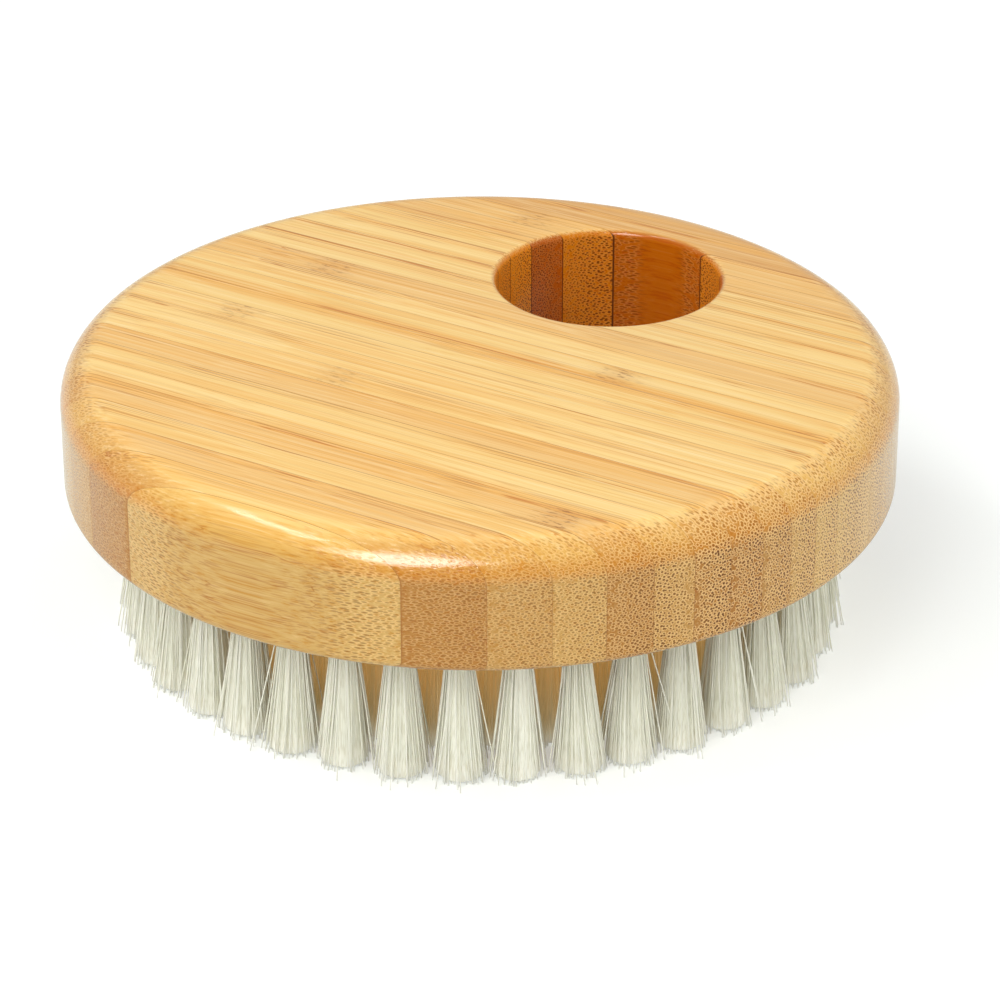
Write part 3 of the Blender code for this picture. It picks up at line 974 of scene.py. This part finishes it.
CAMERA_TARGET = Vector((0, 0, 0.01625))
CAMERA_BACK = Vector((0.5285, -0.7090, 0.4670)).normalized()
CAMERA_DISTANCE = 0.6372
CAMERA_FOCAL_PIXELS = 4033
CAMERA_CLIP = (0.01, 20)
PHOTO_SIDE = 1000
SENSOR = 36
TARGET_PIXEL = (480.4, 509.6)


def make_floor():
    """A plain floor, which glows a little to the camera, so that it stays white round the brush's shadow."""
    mesh = bpy.data.meshes.new("floor")
    corners = [(-1, -1), (1, -1), (1, 1), (-1, 1)]
    mesh.from_pydata([(FLOOR_HALF * x, FLOOR_HALF * y, 0) for x, y in corners], [], [(0, 1, 2, 3)])
    floor = link("floor", mesh)
    finish, g, shader = new_material("floor")
    path = g.node("LightPath")
    glossy = path.outputs["Is Glossy Ray"]
    side = g.dot(g.node("TexCoord").outputs["Object"], TOWARDS)
    mirrored = g.times(glossy, g.ramp(side, *FLOOR_FADE, 0.0, FLOOR_MIRRORED_GLOW))
    seen = g.times(path.outputs["Is Camera Ray"], FLOOR_GLOW)
    g.fill(shader, {
        "Base Color": g.mix(glossy, FLOOR_TONE, FLOOR_MIRRORED),
        "Roughness": FLOOR_ROUGHNESS,
        "Specular IOR Level": 0.0,
        "Emission Color": (1, 1, 1),
        "Emission Strength": g.math("ADD", seen, mirrored),
    })
    mesh.materials.append(finish)


def make_world():
    """Light from all round. Gloss mirrors a backdrop, the darker room in front of the brush and a glint."""
    world = bpy.data.worlds.new("world")
    world.use_nodes = True
    bpy.context.scene.world = world
    g = Graph(world.node_tree)
    path = g.node("LightPath")
    way = g.node("TexCoord").outputs["Generated"]
    room = g.ramp(g.dot(way, TOWARDS), *ROOM_FADE, BACKDROP, ROOM)
    glint = g.ramp(g.dot(way, KEY_DIRECTION.normalized()), *GLINT_FADE, 0.0, GLINT)
    side = g.dot(way, RIGHT)
    right = g.ramp(side, *RIGHT_FADE, DOME, DOME_RIGHT)
    left = g.ramp(side, *LEFT_FADE, 0.0, DOME_LEFT - DOME)
    dome = g.math("ADD", right, left)
    mirrored = g.math("ADD", room, glint)
    strength = g.ramp(path.outputs["Is Glossy Ray"], 0.0, 1.0, dome, mirrored, kind="LINEAR")
    light = g.tree.nodes["Background"]
    g.fill(light, {"Color": (1, 1, 1), "Strength": strength})
    white = g.node("Background", {"Color": (1, 1, 1), "Strength": 1})
    mixed = g.node("MixShader", {"Fac": path.outputs["Is Camera Ray"]})
    for socket, shade in zip(mixed.inputs[1:], (light, white)):
        g.feed(socket, shade.outputs[0])
    g.feed(g.tree.nodes["World Output"].inputs["Surface"], mixed.outputs[0])


def make_lamp(name, direction, roll, size, radiance):
    """A softbox that faces the brush from a direction, turned about that direction."""
    data = bpy.data.lights.new(name, "AREA")
    data.shape = "RECTANGLE"
    data.size, data.size_y = size
    data.energy = radiance * math.pi * size[0] * size[1]
    lamp = link(name, data)
    towards = direction.normalized()
    lamp.location = CAMERA_TARGET + LAMP_DISTANCE * towards
    lamp.rotation_mode = "QUATERNION"
    lamp.rotation_quaternion = (-towards).to_track_quat("-Z", "Y") @ Quaternion((0, 0, 1), roll)


def make_camera():
    """The camera of the photograph. It aims a little off the target, which then lies at its own pixel."""
    data = bpy.data.cameras.new("camera")
    data.sensor_width = SENSOR
    data.lens = CAMERA_FOCAL_PIXELS * SENSOR / PHOTO_SIDE
    data.clip_start, data.clip_end = CAMERA_CLIP
    camera = link("camera", data)
    camera.location = CAMERA_TARGET + CAMERA_DISTANCE * CAMERA_BACK
    level = (-CAMERA_BACK).to_track_quat("-Z", "Y")
    dx = (PHOTO_SIDE / 2 - TARGET_PIXEL[0]) / CAMERA_FOCAL_PIXELS
    dy = (TARGET_PIXEL[1] - PHOTO_SIDE / 2) / CAMERA_FOCAL_PIXELS
    aim = level @ Vector((dx, dy, -1))
    camera.rotation_mode = "QUATERNION"
    camera.rotation_quaternion = aim.to_track_quat("-Z", "Y")
    bpy.context.scene.camera = camera


tufts = tuft_layout()
limits = strip_limits()
make_strips(tufts, limits)
make_rows(tufts, limits)
make_floor()
make_world()
for name, lamp in LAMPS.items():
    make_lamp(name, *lamp)
make_camera()
bpy.context.scene.view_settings.view_transform = "Standard"
